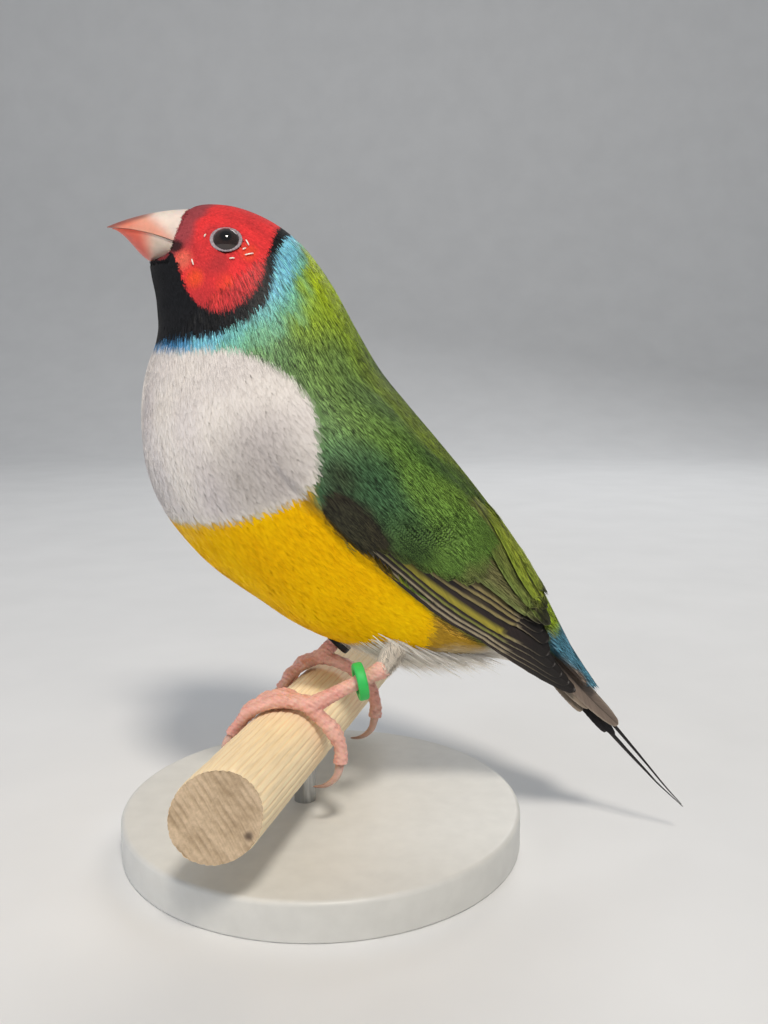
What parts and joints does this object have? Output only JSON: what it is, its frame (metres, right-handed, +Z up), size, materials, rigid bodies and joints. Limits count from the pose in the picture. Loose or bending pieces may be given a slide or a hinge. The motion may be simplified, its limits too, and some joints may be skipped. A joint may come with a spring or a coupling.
{
  "type": "gouldian finch model on a display stand",
  "caption": "Life-size still model of a red-headed gouldian finch gripping a short fluted dowel, held by a slim rod over a round display base.",
  "frame": {"origin": "centre of the stand's flat underside", "axes": "+Z up, -X the way the bird faces, -Y its left side, which faces the viewer"},
  "size_m": [0.0915, 0.074, 0.0999],
  "materials": {
    "mask_feathers": "soft scarlet feathers with a black border",
    "nape_feathers": "soft turquoise and black feathers",
    "body_feathers": "silky feathers: white breast, golden yellow belly, green back",
    "flight_feathers": "green coverts and dark brown flight feathers with pale edges",
    "tail_feathers": "grey brown and black tail feathers under blue coverts",
    "thigh_feathers": "hairlike white feathers",
    "bill_horn": "satin ivory horn with a coral red tip",
    "eye": "wet, nearly black brown",
    "leg_skin": "scaled pink skin",
    "claw_horn": "thin brown pink horn",
    "green_plastic": "bright green moulded band",
    "black_metal": "plain black anodised band",
    "perch_wood": "fluted beech dowel with a rough sawn end",
    "rod_steel": "brushed steel rod",
    "base_paint": "satin pale grey disc"
  },
  "bodies": {
    "root": {"bill_lower": "bill_horn", "bill_upper": "bill_horn", "claw_left_hind": "claw_horn", "claw_left_inner": "claw_horn", "claw_left_middle": "claw_horn", "claw_left_outer": "claw_horn", "claw_right_hind": "claw_horn", "claw_right_inner": "claw_horn", "claw_right_middle": "claw_horn", "claw_right_outer": "claw_horn", "eye_left": "eye", "eye_right": "eye", "foot_left": "leg_skin", "foot_right": "leg_skin", "head": "mask_feathers", "leg_left": "leg_skin", "leg_right": "leg_skin", "neck": "nape_feathers", "perch": "perch_wood", "ring_left": "green_plastic", "ring_right": "black_metal", "stand_base": "base_paint", "stand_rod": "rod_steel", "tail": "tail_feathers", "thigh_left": "thigh_feathers", "thigh_right": "thigh_feathers", "torso": "body_feathers", "wing_left": "flight_feathers", "wing_right": "flight_feathers"}
  },
  "joints": []
}
